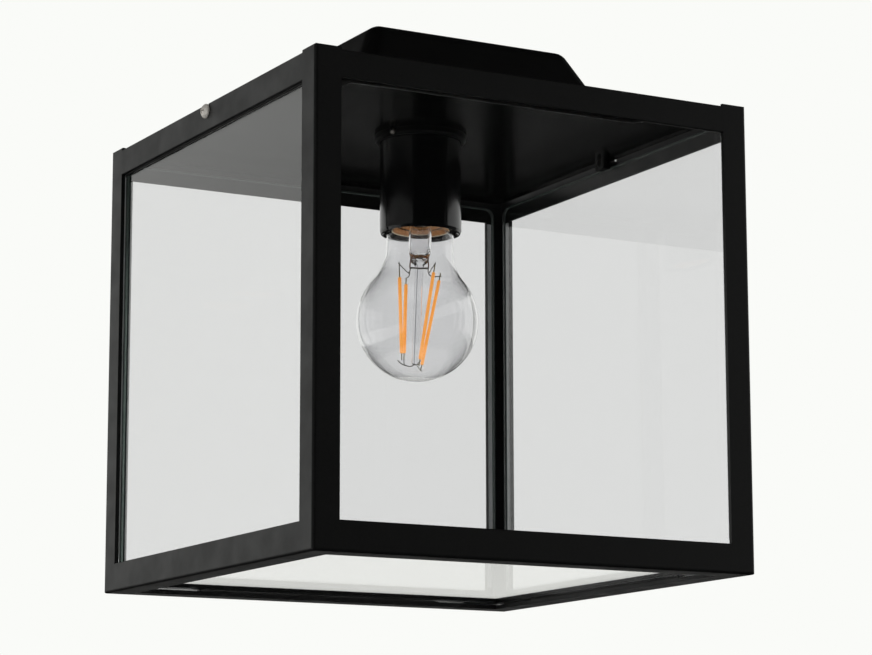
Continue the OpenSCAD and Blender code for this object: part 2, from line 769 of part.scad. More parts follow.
// Flared glass stem, its pinch and the rod that carries the filaments
module bulb_stem() {
    pinch_z = shoulder_z - 6;
    top = cap_rim_z + 5;
    rod_r = 2.2;
    color("#e3ebec", 0.4) rotate_extrude() polygon([
        [0, stem_z], [rod_r, stem_z], [rod_r, pinch_z - 2.5], [4.7, pinch_z], [4.7, pinch_z + 3.5],
        [5.5, pinch_z + 5.5], [5.6, pinch_z + 15], [7.5, top - 2], [neck_foot_r - bulb_t - 0.3, top],
        [0, top]
    ]);
}

// Four light filaments. Each row holds its upper and lower end: across and away
// from the front-left view of the lamp, and the height above the bulb's lowest point.
view_turn = -29;
filament_ends = [
    [[-9.3, -4.2, 50.5], [-7.0, -2.5, 13.2]],
    [[-6.3, 8.2, 49.7], [-5.9, 3.0, 14.2]],
    [[7.2, -7.1, 52.7], [2.0, -3.4, 10.4]],
    [[10.0, 2.0, 50.9], [2.9, 3.2, 8.8]]
];

// Straight rod between two points
module rod(a, b, d) {
    v = b - a;
    translate(a) rotate([0, acos(v[2] / norm(v)), atan2(v[1], v[0])]) cylinder(d = d, h = norm(v));
}

module bulb_filaments() {
    color("#e8973f") translate([0, 0, lamp_z]) rotate([0, 0, view_turn])
        for (f = filament_ends) rod(f[0], f[1], filament_d);
}

// Thin wires from the stem's pinch to the upper ends and from the rod to the lower ends
module bulb_supports() {
    wire = 0.6;
    reach = filament_d / 2 + 0.3;
    pinch = shoulder_z - 8 - lamp_z;
    foot = stem_z - lamp_z + 2;
    color("#8a8a88") translate([0, 0, lamp_z]) rotate([0, 0, view_turn]) for (f = filament_ends) {
        top = f[0] + [0, 0, reach];
        low = f[1] - [0, 0, reach];
        rod([sign(top[0]) * 4.8, sign(top[1]) * 0.8, pinch], top, wire);
        rod([sign(low[0]) * 2.6, sign(low[1]) * 0.6, foot], low, wire);
    }
}

post(0);  // post_front_left
post(1);  // post_front_right
post(2);  // post_back_right
post(3);  // post_back_left
top_rail(0, false);  // top_rail_front
top_rail(1, true);  // top_rail_right
top_rail(2, false);  // top_rail_back
top_rail(3, true);  // top_rail_left
bottom_rail(0, true);  // bottom_rail_front
bottom_rail(1, false);  // bottom_rail_right
bottom_rail(2, true);  // bottom_rail_back
bottom_rail(3, false);  // bottom_rail_left
side_pane(0);  // pane_front
side_pane(1);  // pane_right
side_pane(2);  // pane_back
side_pane(3);  // pane_left
pane_bottom();
pane_bedding();
bottom_pads();
ceiling_plate();
threaded_blocks();
canopy();
canopy_lugs();
canopy_screws();
cable_grommet();
cage_screw(180);  // cage_screw_left
cage_screw(0);  // cage_screw_right
holder_flange();
holder_skirt();
holder_insert();
holder_shell();
holder_contact();
holder_nipple();
nipple_nut();
holder_lock_screw();
terminal_block();
terminal_tubes();
terminal_screws();
live_wire();
neutral_wire();
earth_wire();
earth_stud();
earth_nut();
bulb_glass();
bulb_cap();
bulb_insulator();
bulb_contact();
bulb_stem();
bulb_filaments();
bulb_supports();
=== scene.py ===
# %% [markdown]
# # A glazed porch lantern
# The lantern is a black steel cage with five panes of clear glass. It hangs by two side
# screws from a flat plate, which carries a glossy lampholder and a clear filament lamp.
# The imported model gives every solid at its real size, so this script adds finishes, light,
# and the finer pieces that the solids leave plain.

# %% Load the frame
import math

import bpy
from mathutils import Matrix, Vector


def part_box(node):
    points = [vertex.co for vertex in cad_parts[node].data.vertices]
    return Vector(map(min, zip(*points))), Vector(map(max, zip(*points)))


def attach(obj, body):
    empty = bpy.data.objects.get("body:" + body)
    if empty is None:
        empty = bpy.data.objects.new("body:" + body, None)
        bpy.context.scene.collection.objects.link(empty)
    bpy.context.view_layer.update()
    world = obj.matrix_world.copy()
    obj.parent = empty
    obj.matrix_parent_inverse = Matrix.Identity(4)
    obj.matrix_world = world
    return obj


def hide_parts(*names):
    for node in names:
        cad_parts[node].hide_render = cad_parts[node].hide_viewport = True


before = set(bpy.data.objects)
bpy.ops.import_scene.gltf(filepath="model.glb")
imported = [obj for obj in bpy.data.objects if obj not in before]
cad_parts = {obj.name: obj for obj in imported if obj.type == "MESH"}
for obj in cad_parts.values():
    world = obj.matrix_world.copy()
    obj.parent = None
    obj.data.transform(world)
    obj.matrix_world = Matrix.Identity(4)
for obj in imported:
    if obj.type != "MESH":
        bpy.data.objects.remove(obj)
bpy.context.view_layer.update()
MM = 0.001

# %% [markdown]
# ## Camera
# The photograph was taken from below and in front of the left corner, with a long lens.
# The place and lens were fitted to the eight corners of the cage, so the camera is set by
# numbers and not by eye. The fit gives the focal length in pixels of the photograph, and a
# sensor 36 mm wide turns that into a lens of 119 mm.

# %% Camera
PHOTO_WIDTH, FOCAL_PIXELS, SENSOR = 872, 2878.1, 36
camera = bpy.data.objects.new("camera", bpy.data.cameras.new("camera"))
bpy.context.scene.collection.objects.link(camera)
bpy.context.scene.camera = camera
camera.location = Vector((-663.6, -1209.2, -387.8)) * MM
yaw, pitch, roll = (math.radians(a) for a in (29.1, 10.48, -0.11))
looking = Vector((math.sin(yaw) * math.cos(pitch), math.cos(yaw) * math.cos(pitch),
                  math.sin(pitch)))
rolled = Matrix.Rotation(roll, 4, "Z").to_quaternion()
camera.rotation_mode = "QUATERNION"
camera.rotation_quaternion = looking.to_track_quat("-Z", "Y") @ rolled
camera.data.sensor_width = SENSOR
camera.data.lens = FOCAL_PIXELS / PHOTO_WIDTH * SENSOR
camera.data.clip_start, camera.data.clip_end = 0.05, 100
print("camera at", tuple(round(v, 3) for v in camera.location), "m")
print("lens", round(camera.data.lens, 1), "mm")

# %% [markdown]
# ## Colours and nodes
# A colour that is read from a screen is sRGB, but a shader works with linear light. One
# function does that step, and another adds a node with its settings and links. Most real
# surfaces then need the same three things: two near colours that mottle each other, a shine
# that varies a little, and a fine relief. One recipe holds them, with all sizes in mm.
# A Mix node has sockets for each kind of value, and its colours have the numbers below.

# %% Colours and nodes
MIX_A, MIX_B, MIX_OUT = 6, 7, 2


def colour(code):
    """A colour such as "#1b1b1c", as linear red, green, blue and alpha."""
    parts = [int(code[i:i + 2], 16) / 255 for i in (1, 3, 5)]
    return [c / 12.92 if c <= 0.04045 else ((c + 0.055) / 1.055) ** 2.4 for c in parts] + [1.0]


def add(tree, kind, links=None, values=None, **settings):
    """Adds a node: settings are its own properties, values its plain sockets."""
    made = tree.nodes.new(kind)
    for key, value in settings.items():
        setattr(made, key, value)
    for key, value in (values or {}).items():
        made.inputs[key].default_value = value
    for key, source in (links or {}).items():
        tree.links.new(source, made.inputs[key])
    return made


def start(name, **values):
    """A new material with one Principled shader, and the piece's own coordinates in metres."""
    made = bpy.data.materials.new(name)
    made.use_nodes = True
    tree = made.node_tree
    tree.nodes.clear()
    surface = add(tree, "ShaderNodeBsdfPrincipled", values=values)
    add(tree, "ShaderNodeOutputMaterial", links={"Surface": surface.outputs[0]})
    where = add(tree, "ShaderNodeTexCoord").outputs["Object"]
    return made, tree, surface, where


def per_mm(size):
    """The scale that makes a noise's grains about this many millimetres wide."""
    return 1 / (size * MM)


def grained(name, dark, light, grain, rough, relief, slow=12.0, **values):
    """Two colours mottled by grains (mm), a roughness between two values, a relief (mm)."""
    made, tree, surface, where = start(name, **values)
    grains = add(tree, "ShaderNodeTexNoise", {"Vector": where},
                 {"Scale": per_mm(grain), "Detail": 2.5})
    waves = add(tree, "ShaderNodeTexNoise", {"Vector": where},
                {"Scale": per_mm(slow), "Detail": 2.0})
    spread = {"From Min": 0.3, "From Max": 0.7}
    part = add(tree, "ShaderNodeMapRange", {"Value": grains.outputs["Fac"]}, spread)
    shine = add(tree, "ShaderNodeMapRange", {"Value": waves.outputs["Fac"]},
                {**spread, "To Min": rough[0], "To Max": rough[1]})
    mix = add(tree, "ShaderNodeMix", {"Factor": part.outputs[0]},
              {MIX_A: colour(dark), MIX_B: colour(light)}, data_type="RGBA")
    bump = add(tree, "ShaderNodeBump", {"Height": grains.outputs["Fac"]},
               {"Strength": 0.5, "Distance": relief * MM})
    tree.links.new(mix.outputs[MIX_OUT], surface.inputs["Base Color"])
    tree.links.new(shine.outputs[0], surface.inputs["Roughness"])
    tree.links.new(bump.outputs[0], surface.inputs["Normal"])
    return made, tree, surface, where


def finish_with(material, *names):
    """Gives CAD nodes a finish."""
    for name in names:
        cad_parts[name].data.materials.clear()
        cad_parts[name].data.materials.append(material)
    print(material.name, "on", ", ".join(names))


# %% [markdown]
# ## Black powder coat
# The cage is steel, sprayed with a fine-texture polyester powder and baked. The baked skin
# has grains of about a millimetre, which break its shine into a soft grey sheen where the
# light is flat on it. A polyester's IOR is about 1.5.

# %% Powder coat
sides = ("front", "right", "back", "left")
powder_coat, *_ = grained(
    "powder_coat_fine_texture", "#060607", "#0c0c0d", 0.9, (0.42, 0.5), 0.045, IOR=1.5,
    **{"Specular IOR Level": 0.28})
finish_with(powder_coat, "post_front_left", "post_front_right", "post_back_right",
            "post_back_left", *("top_rail_" + s for s in sides),
            *("bottom_rail_" + s for s in sides))

# %% [markdown]
# ## Semi-gloss black paint
# The ceiling plate, its lugs and its two threaded blocks have a smoother, wetter black than
# the cage: a sprayed and baked enamel. Seen flat along its underside it mirrors the room as
# a dim sheen, and the lampholder stands in that sheen as a dark band. A roughness near 0.18
# keeps the band sharp at the holder's foot and blurs it further off. The 4 mm waves are
# orange peel, which a sprayed film keeps as it dries.

# %% Semi-gloss paint
plate_enamel, *_ = grained(
    "plate_enamel_semi_gloss", "#050505", "#070707", 4, (0.16, 0.2), 0.002, IOR=1.5,
    **{"Specular IOR Level": 0.28})
finish_with(plate_enamel, "ceiling_plate", "canopy_lugs", "threaded_blocks")

# %% [markdown]
# ## Satin black canopy
# The canopy is pressed from sheet and coated like the cage, with a slightly finer grain. Its black
# is darker than the cage's, as painted shade for the dark room above it.

# %% Canopy coat
# The darker colour is painted shade: little light reaches the canopy from above.
canopy_coat_painted_shade, *_ = grained(
    "canopy_powder_coat_painted_shade", "#030303", "#050506", 0.7, (0.38, 0.46), 0.03, IOR=1.5)
finish_with(canopy_coat_painted_shade, "canopy")

# %% [markdown]
# ## Glass
# The panes are clear float glass, 4 mm thick. Float glass has an IOR of 1.52 and a trace of
# iron, which takes a few hundredths of the light and turns its seamed edges a dark green.
# The edges are found by place: the faces of a pane lie 108.3 and 112.3 mm from the middle,
# and only its edges lie between them. The lamp is blown soda-lime glass, which is thinner
# and a little clearer. Glass throws almost no shadow in a soft room, so the shadow rays pass
# it, and so do the mirrored rays of the black parts inside, which see the room as if the
# side panes were clean air. The bottom pane alone is still seen by mirrored rays.

# %% Glass
PANE_MIDDLE, EDGE_REACH, EDGE_ROUGHNESS = 110.3, 1.8, 0.45
CLEAR = {"Transmission Weight": 1.0, "Roughness": 0.0}
BLOWN = {**CLEAR, "IOR": 1.5, "Base Color": colour("#fbfbfc")}
float_glass, tree, surface, where = start("float_glass_clear", IOR=1.52, **CLEAR)
axes = add(tree, "ShaderNodeSeparateXYZ", {"Vector": where})
away = [add(tree, "ShaderNodeMath", {0: axes.outputs[i]}, operation="ABSOLUTE") for i in (0, 1)]
far = add(tree, "ShaderNodeMath", {i: away[i].outputs[0] for i in (0, 1)}, operation="MAXIMUM")
edge = add(tree, "ShaderNodeMath", {0: far.outputs[0]},
           {1: PANE_MIDDLE * MM, 2: EDGE_REACH * MM}, operation="COMPARE")
tone = add(tree, "ShaderNodeMix", {"Factor": edge.outputs[0]},
           {MIX_A: colour("#f6f6f7"), MIX_B: colour("#45564f")}, data_type="RGBA")
matt = add(tree, "ShaderNodeMath", {0: edge.outputs[0]}, {1: EDGE_ROUGHNESS},
           operation="MULTIPLY")
tree.links.new(tone.outputs[MIX_OUT], surface.inputs["Base Color"])
tree.links.new(matt.outputs[0], surface.inputs["Roughness"])
blown_glass, tree, surface, where = start("lamp_glass_blown", **BLOWN)
drawn = add(tree, "ShaderNodeTexNoise", {"Vector": where}, {"Scale": per_mm(16), "Detail": 0.0})
bump = add(tree, "ShaderNodeBump", {"Height": drawn.outputs["Fac"]},
           {"Strength": 0.15, "Distance": 0.1 * MM})
tree.links.new(bump.outputs[0], surface.inputs["Normal"])
panes = ["pane_" + s for s in sides] + ["pane_bottom"]


def let_light_by(made):
    """Shadow, diffuse and mirrored rays pass a clear piece, which the camera still sees."""
    made.visible_shadow = made.visible_glossy = made.visible_diffuse = False


finish_with(float_glass, *panes)
for name in panes:
    let_light_by(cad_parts[name])
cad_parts["pane_bottom"].visible_glossy = True

# %% [markdown]
# ## Seamed edges
# A glass cutter breaks the sharp edges of a pane with a belt. That leaves a narrow ground
# chamfer all round, which is matt and grey-green, and it is what the eye sees of a pane
# whose faces are too clear to see. Each pane gets its chamfers as strips that follow its
# outline, with round corners of 5 mm. The strips stand a few hundredths of a millimetre
# proud of the glass, so no surface lies exactly in another.

# %% Seamed edges
CHAMFER, FACE_LIFT, EDGE_LIFT = 0.6, 0.02, 0.03
seamed, *_ = grained("glass_edge_seamed", "#2c3634", "#38423f", 0.8, (0.5, 0.6), 0.02, IOR=1.52)
pane_low, pane_high = (Vector(corner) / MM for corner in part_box("pane_front"))


def new_piece(name, points, faces, material, place=None, smooth=False):
    """An object from points in metres and from faces that name them by number."""
    mesh = bpy.data.meshes.new(name)
    mesh.from_pydata(points, [], faces)
    if smooth:
        mesh.polygons.foreach_set("use_smooth", [True] * len(mesh.polygons))
    mesh.materials.append(material)
    made = bpy.data.objects.new(name, mesh)
    made.matrix_world = place or Matrix()
    bpy.context.scene.collection.objects.link(made)
    return made


def rounded_outline(grow, radius=5.0, steps=7):
    """The pane's outline in X and Z, in mm, grown by so much."""
    points = []
    for k, (sx, sz) in enumerate(((1, 1), (-1, 1), (-1, -1), (1, -1))):
        cx = (pane_high.x if sx > 0 else pane_low.x) - sx * radius
        cz = (pane_high.z if sz > 0 else pane_low.z) - sz * radius
        for i in range(steps):
            a = math.pi / 2 * (k + i / (steps - 1))
            points.append((cx + (radius + grow) * math.cos(a), cz + (radius + grow) * math.sin(a)))
    return points


def chamfer_strips(name, turn):
    """A strip along the rim of a pane's two faces, turned in degrees to its side."""
    points, faces = [], []
    count = len(rounded_outline(0))
    for face, way in ((pane_low.y, 1), (pane_high.y, -1)):
        base = len(points)
        rims = ((-CHAMFER, face - way * FACE_LIFT), (EDGE_LIFT, face + way * CHAMFER))
        for grow, y in rims:
            points += [(x * MM, y * MM, z * MM) for x, z in rounded_outline(grow)]
        for i in range(count):
            j = (i + 1) % count
            faces.append((base + i, base + j, base + count + j, base + count + i))
    made = new_piece(name, points, faces, seamed, Matrix.Rotation(math.radians(turn), 4, "Z"))
    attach(made, "cage")


for side, turn in zip(sides, (0, 90, 180, 270)):
    chamfer_strips("seamed_edges_" + side, turn)
print("seamed edges round four panes", [round(v, 1) for v in pane_high - pane_low], "mm")

# %% [markdown]
# ## Moulded resin and ceramic
# The lampholder is moulded from black phenolic resin, which leaves its polished tool with a
# deep gloss and faint flow waves. Its flange shows no glint in the photograph, so it has the
# satin of an unpolished tool. Its inside is fired steatite, a matt off-white ceramic with
# fine specks. The terminal block is moulded nylon, which is whiter and waxier, and the
# lamp's contact sits in a black glass.

# %% Phenolic resin, steatite, nylon and black glass
phenolic, *_ = grained(
    "phenolic_moulded_black", "#040405", "#060607", 6, (0.12, 0.17), 0.006, IOR=1.55)
finish_with(phenolic, "holder_skirt")
flange_resin, *_ = grained(
    "phenolic_moulded_satin", "#030304", "#050506", 2, (0.5, 0.6), 0.02, IOR=1.55,
    **{"Specular IOR Level": 0.2})
finish_with(flange_resin, "holder_flange")
steatite, *_ = grained("steatite_fired", "#d6d0c3", "#ebe7dd", 0.8, (0.5, 0.62), 0.05, IOR=1.6)
finish_with(steatite, "holder_insert")
nylon, *_ = grained("nylon_moulded_white", "#e0e0da", "#eeeeea", 4, (0.34, 0.44), 0.02, IOR=1.53,
                    **{"Subsurface Weight": 0.15, "Subsurface Scale": 2 * MM})
finish_with(nylon, "terminal_block")
cap_glass, *_ = grained(
    "cap_insulator_black_glass", "#121215", "#1c1c20", 3, (0.06, 0.14), 0.02, IOR=1.52)
finish_with(cap_glass, "bulb_insulator")

# %% [markdown]
# ## Metals
# A metal takes its look from a mirror tinted by the metal, so only its colour, shine and
# scratches change. The screws are steel with bright zinc, the contacts brass and sprung
# bronze, the lamp's cap nickel on brass, and its lowest contact is a blob of solder. The
# zinc on the two cage screws has dulled to a pale satin, so a part of its light is diffuse,
# and their shanks, inside the cage's walls at 115 mm, are painted near black as painted
# shade. The holder's lock screw is oiled, and bright only where its film is thin.

# %% Metals
SHANK_END = 114.9
zinc, *_ = grained("steel_zinc_plated", "#a9a8a2", "#cfd0d2", 0.5, (0.24, 0.36), 0.012,
                   slow=3, Metallic=1.0)
finish_with(zinc, "canopy_screws", "holder_nipple", "nipple_nut", "terminal_screws")
frosted, tree, surface, where = grained(
    "steel_zinc_satin_shank_painted_shade", "#d2ccc6", "#efebe6", 0.5, (0.42, 0.52), 0.012, slow=3, Metallic=0.7)
head = surface.inputs["Base Color"].links[0].from_socket
# Inside the cage's walls the shank is painted near black: painted shade.
axes = add(tree, "ShaderNodeSeparateXYZ", {"Vector": where})
out = add(tree, "ShaderNodeMath", {0: axes.outputs[0]}, operation="ABSOLUTE")
inside = add(tree, "ShaderNodeMath", {0: out.outputs[0]}, {1: SHANK_END * MM},
             operation="LESS_THAN")
shank_painted_shade = add(tree, "ShaderNodeMix", {"Factor": inside.outputs[0], MIX_A: head},
            {MIX_B: colour("#1c1a18")}, data_type="RGBA")
tree.links.new(shank_painted_shade.outputs[MIX_OUT], surface.inputs["Base Color"])
finish_with(frosted, "cage_screw_left", "cage_screw_right")
oiled, *_ = grained("steel_oiled_dark", "#4a4541", "#c4beb8", 0.5, (0.26, 0.4), 0.12,
                    slow=2, Metallic=1.0)
finish_with(oiled, "holder_lock_screw")
brass, *_ = grained("brass_stamped", "#c39b4e", "#dcbb74", 0.6, (0.2, 0.34), 0.01,
                    slow=4, Metallic=1.0)
finish_with(brass, "holder_shell", "terminal_tubes", "earth_stud", "earth_nut")
bronze, *_ = grained("phosphor_bronze_sprung", "#a8743f", "#c8935c", 0.6, (0.26, 0.36), 0.01,
                     slow=3, Metallic=1.0)
finish_with(bronze, "holder_contact")
nickel, *_ = grained("nickel_plated_cap", "#bdb8ac", "#d8d5cd", 0.7, (0.18, 0.3), 0.012,
                     slow=5, Metallic=1.0)
finish_with(nickel, "bulb_cap")
tin, *_ = grained("solder_tinned", "#a9abae", "#c9cacc", 1.1, (0.28, 0.42), 0.08,
                  slow=2, Metallic=1.0)
finish_with(tin, "bulb_contact")

# %% [markdown]
# ## Rubber, foam and sealant
# A rubber grommet guards the cable's way in. Foam tape with open cells of half a
# millimetre cushions the bottom pane. Clear silicone beds the side panes behind the posts.

# %% Rubber, foam and sealant
rubber, *_ = grained("rubber_grommet", "#141414", "#202020", 0.8, (0.6, 0.75), 0.05, IOR=1.5)
finish_with(rubber, "cable_grommet")
foam, *_ = grained("foam_tape_black", "#0a0a0a", "#1d1d1d", 0.5, (0.85, 0.95), 0.25, IOR=1.5)
finish_with(foam, "bottom_pads")
silicone, *_ = grained("silicone_clear", "#c4c7c8", "#d2d4d5", 12, (0.3, 0.36), 0.01, IOR=1.41,
                       **{"Transmission Weight": 0.8})
finish_with(silicone, "pane_bedding")
let_light_by(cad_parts["pane_bedding"])

# %% [markdown]
# ## Wires
# Each wire is copper in a PVC skin, which leaves its die smooth and a little waxy. The
# earth wire is green with a yellow stripe along one side, and the side is found by which
# way the skin faces.

# %% Wires
brown_pvc, *_ = grained("wire_pvc_brown", "#5a3418", "#744522", 2, (0.3, 0.4), 0.02, IOR=1.53)
blue_pvc, *_ = grained("wire_pvc_blue", "#27529a", "#3566b2", 2, (0.3, 0.4), 0.02, IOR=1.53)
earth_pvc, tree, surface, _ = grained(
    "wire_pvc_green_yellow", "#3f8a2e", "#4f9c3a", 2, (0.3, 0.4), 0.02, IOR=1.53)
green = surface.inputs["Base Color"].links[0].from_socket
geometry = add(tree, "ShaderNodeNewGeometry")
facing = add(tree, "ShaderNodeSeparateXYZ", {"Vector": geometry.outputs["Normal"]})
stripe = add(tree, "ShaderNodeMath", {0: facing.outputs[2]}, {1: 0.45}, operation="GREATER_THAN")
striped = add(tree, "ShaderNodeMix", {"Factor": stripe.outputs[0], MIX_A: green},
              {MIX_B: colour("#e2c52c")}, data_type="RGBA")
tree.links.new(striped.outputs[MIX_OUT], surface.inputs["Base Color"])
print("wire skins", brown_pvc.name, blue_pvc.name, earth_pvc.name)

# %% [markdown]
# ## Turned shapes and wires
# The lamp's inside needs two kinds of shape. A stem, a ring and a light filament are round
# about an axis, so they are turned from an outline: each row gives a height and two
# radii, because the pinch of a stem is flattened. A lead is bent from wire, so it is a
# smooth curve through a few points with a round section. In the photograph the bulb hangs a
# little to the left, as one that was cemented two degrees off square in its cap would, so
# all that hangs in it shares one tilt about the cap's rim.

# %% Shapes
lamp_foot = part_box("bulb_glass")[0][2]
cap_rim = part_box("bulb_cap")[0][2]
VIEW_TURN, LEAN = math.radians(-29), math.radians(2.0)
TILT = (Matrix.Translation((0, 0, cap_rim)) @ Matrix.Rotation(VIEW_TURN, 4, "Z")
        @ Matrix.Rotation(LEAN, 4, "Y") @ Matrix.Rotation(-VIEW_TURN, 4, "Z")
        @ Matrix.Translation((0, 0, -cap_rim)))


def round_rows(rows):
    """Rows of (height, radius) in mm, for a shape that is round at every height."""
    return [(height, radius, radius) for height, radius in rows]


def turned(name, rows, material, place=None, count=48):
    """A closed shape from rows of (height, half width, half depth) in mm."""
    points, faces, rings = [], [], []
    for height, wide, deep in rows:
        if wide == 0:
            rings.append([len(points)] * count)
            points.append((0, 0, height * MM))
            continue
        rings.append(list(range(len(points), len(points) + count)))
        for k in range(count):
            a = 2 * math.pi * k / count
            points.append((wide * math.cos(a) * MM, deep * math.sin(a) * MM, height * MM))
    for low, high in zip(rings, rings[1:]):
        for k in range(count):
            corners = [low[k], low[(k + 1) % count], high[(k + 1) % count], high[k]]
            faces.append(list(dict.fromkeys(corners)))
    return new_piece(name, points, [f for f in faces if len(f) > 2], material, place, smooth=True)


def bent_wire(name, points, thick, material):
    """A smooth wire through points in metres."""
    curve = bpy.data.curves.new(name, "CURVE")
    curve.dimensions, curve.bevel_depth, curve.bevel_resolution = "3D", thick / 2 * MM, 3
    curve.resolution_u, curve.use_fill_caps = 8, True
    spline = curve.splines.new("BEZIER")
    spline.bezier_points.add(len(points) - 1)
    for knot, point in zip(spline.bezier_points, points):
        knot.co = point
        knot.handle_left_type = knot.handle_right_type = "AUTO"
    curve.materials.append(material)
    made = bpy.data.objects.new(name, curve)
    bpy.context.scene.collection.objects.link(made)
    return made


def in_lamp(across, away, height):
    """A place in the lamp: across and away from the view, and above the bulb's lowest point."""
    turn = Matrix.Rotation(VIEW_TURN, 3, "Z")
    flat = turn @ Vector((across, away, 0)) * MM
    return TILT @ (flat + Vector((0, 0, lamp_foot + height * MM)))


print("lamp's foot at", round(lamp_foot / MM, 1), "mm, cap's rim at", round(cap_rim / MM, 1), "mm")


# %% [markdown]
# ## House wires
# The live and neutral wires leave the holder's insert, pass up the nipple and bend over to
# the terminal block. The earth wire runs from the block to an eye under the earth nut. They
# are soft, so each is a smooth curve through the places where it is held or bent. At the
# block they go 5 mm into its ways, counted from the face on the lampholder's side.

# %% House wires
WIRE, WAY_UP, EYE_RADIUS = 2.2, 5, 2.9
plate_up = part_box("ceiling_plate")[1][2] / MM
block_low, block_high = (Vector(corner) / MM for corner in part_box("terminal_block"))
way_y, way_z, pitch = block_low.y, plate_up + WAY_UP, (block_high.x - block_low.x) / 3
earth_x, earth_y = -46, 20


def lamp_wire(s):
    """Points of a wire in mm: s is -1 for live and 1 for neutral."""
    return [(s * 9, 0, plate_up - 16.5), (s * 9, 0, plate_up - 8.2), (s * 6.5, 0, plate_up - 6.6),
            (s * 2.4, 0, plate_up - 5.6), (s * 1.6, 0, plate_up - 1), (s * 1.6, 0, plate_up + 8),
            (s * 2, 3, plate_up + 16), (s * 5, 14, plate_up + 18), (s * 9, way_y - 8, way_z + 7),
            (s * pitch, way_y - 4, way_z + 1.2), (s * pitch, way_y - 1, way_z),
            (s * pitch, way_y + 1, way_z), (s * pitch, way_y + 5, way_z)]


eye_z = plate_up + WIRE / 2
earth_route = [(0, way_y + 5, way_z), (0, way_y + 1, way_z), (0, way_y - 1, way_z),
               (0, way_y - 4, way_z + 0.5), (-8, 20, way_z + 3), (-22, 18, way_z + 1),
               (earth_x + 12, earth_y, plate_up + 3), (earth_x + 7, earth_y, eye_z),
               (earth_x + 3.2, earth_y, eye_z)]
eye = [(earth_x + EYE_RADIUS * math.cos(a), earth_y + EYE_RADIUS * math.sin(a), eye_z)
       for a in [0.1 + k * 0.61 for k in range(11)]]
for name, node, skin, slot, route in (
        ("live_wire_skin", "live_wire", brown_pvc, "brown_insulation", lamp_wire(-1)),
        ("neutral_wire_skin", "neutral_wire", blue_pvc, "blue_insulation", lamp_wire(1)),
        ("earth_wire_skin", "earth_wire", earth_pvc, "green_yellow_insulation", earth_route),
        ("earth_wire_eye", None, tin, "tin_contact", eye)):
    made = bent_wire(name, [Vector(p) * MM for p in route], WIRE, skin)
    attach(made, "fixture")
    if node:
        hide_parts(node)
print("three wires", WIRE, "mm thick")

# %% [markdown]
# ## Bulb
# The bulb is blown into a mould: a globe, a hollow shoulder and a straight neck, with a
# wall that is thinnest on the globe and thickest at the lowest point, where the gather of
# glass began. A wall as thin as the real one keeps the bright rim fine. So the bulb is
# turned from two outlines, the outer one going up and the inner one coming back down.
# The first line below gives radii in mm, and the lens of glass spreads over an angle.

# %% Bulb
GLOBE, NECK, SHOULDER, FOOT = 29.7, 16.5, 24.0, 11.2
WALL, LENS, LENS_SPREAD = 0.4, 0.5, 0.2
GLOBE_STEPS, SHOULDER_STEPS = 64, 16
SHOULDER_Z = GLOBE + math.sqrt((GLOBE + SHOULDER) ** 2 - (NECK + SHOULDER) ** 2)
RIM_Z = (cap_rim - lamp_foot) / MM


def bulb_outline(wall, lens):
    """Rows up the bulb, thinner by a wall, with a thicker lens of glass at the lowest point."""
    rows = []
    meet = math.atan2(SHOULDER_Z - GLOBE, NECK + SHOULDER)
    for i in range(GLOBE_STEPS + 1):
        a = -math.pi / 2 + (meet + math.pi / 2) * i / GLOBE_STEPS
        bulge = lens * math.exp(-((a + math.pi / 2) / LENS_SPREAD) ** 2)
        r = GLOBE - wall - bulge
        rows.append((GLOBE + r * math.sin(a), 0 if i == 0 else r * math.cos(a)))
    r = SHOULDER + wall
    for i in range(1, SHOULDER_STEPS + 1):
        a = math.pi + meet * (1 - i / SHOULDER_STEPS)
        rows.append((SHOULDER_Z + r * math.sin(a), NECK + SHOULDER + r * math.cos(a)))
    rows += [(RIM_Z - 4.7, NECK - wall), (RIM_Z - 4.5, NECK - wall - 0.05),
             (RIM_Z - 0.2, FOOT + 0.15 - wall), (RIM_Z, FOOT - wall), (RIM_Z + 6, FOOT - wall)]
    return round_rows(rows)


bulb_rows = bulb_outline(0, 0) + bulb_outline(WALL, LENS)[::-1]
place = TILT @ Matrix.Translation((0, 0, lamp_foot))
bulb = turned("bulb_blown", bulb_rows, blown_glass, place, 128)
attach(bulb, "lamp")
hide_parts("bulb_glass")
let_light_by(bulb)
print("bulb", [round(v / MM, 1) for v in bulb.dimensions], "mm")

# %% [markdown]
# ## Stem
# The stem of a lamp is a glass tube, flared at its open end where it is fused to the neck,
# and pinched flat round the two leads at the other. A thin glass rod goes on from the pinch
# to hold the light filaments. Turned with an inner face as well, it has the bright rims of
# a tube, where the plain solid would bend light like a lens. The jaws that pinched the hot
# glass left it dented and a little matt, for 3.5 mm to each side of a height of 62.5 mm.

# %% Stem
PINCH_Z, PINCH_REACH = 62.5, 3.5
pinched_glass, tree, surface, where = start("lamp_glass_pinched", **BLOWN)
height = add(tree, "ShaderNodeSeparateXYZ", {"Vector": where}).outputs[2]
near = add(tree, "ShaderNodeMath", {0: height}, {1: PINCH_Z * MM, 2: PINCH_REACH * MM},
           operation="COMPARE")
jaws = add(tree, "ShaderNodeTexNoise", {"Vector": where}, {"Scale": per_mm(1.1), "Detail": 1.0})
marks = add(tree, "ShaderNodeMath", {0: jaws.outputs["Fac"], 1: near.outputs[0]},
            operation="MULTIPLY")
dents = add(tree, "ShaderNodeBump", {"Height": marks.outputs[0]},
            {"Strength": 0.8, "Distance": 0.5 * MM})
matt = add(tree, "ShaderNodeMath", {0: near.outputs[0]}, {1: 0.12}, operation="MULTIPLY")
tree.links.new(dents.outputs[0], surface.inputs["Normal"])
tree.links.new(matt.outputs[0], surface.inputs["Roughness"])
